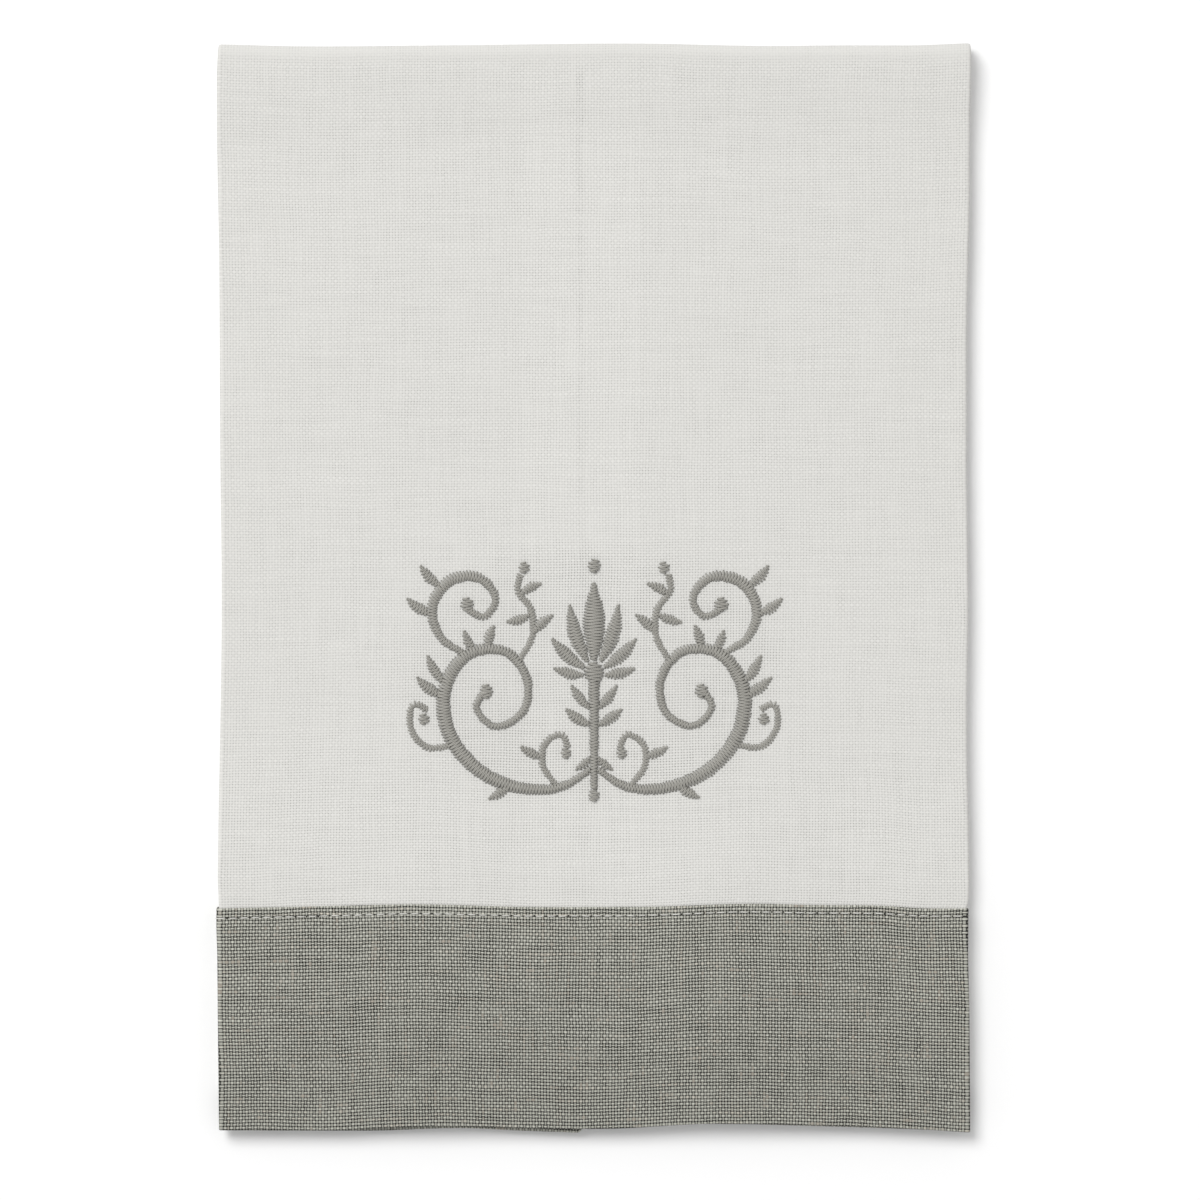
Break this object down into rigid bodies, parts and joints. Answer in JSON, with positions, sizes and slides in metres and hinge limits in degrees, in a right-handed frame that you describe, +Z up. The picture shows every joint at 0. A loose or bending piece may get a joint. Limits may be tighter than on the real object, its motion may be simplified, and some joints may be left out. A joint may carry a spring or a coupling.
{
  "type": "guest towel",
  "caption": "Folded linen guest towel with a contrast band along its lower end, lying flat with its folded sides tucked behind.",
  "frame": {"origin": "middle of the folded towel's footprint, on the surface it lies on", "axes": "+Z up from the back panel to the front panel, +Y from the banded hem to the top fold, +X across to the right as seen from above"},
  "size_m": [0.1789, 0.2582, 0.0066],
  "materials": {
    "white_linen": "plain woven white linen, matte",
    "grey_linen": "plain woven warm grey linen, slightly open weave, matte"
  },
  "bodies": {
    "root": {"linen_cloth": "white_linen", "contrast_band": "grey_linen"}
  },
  "joints": []
}
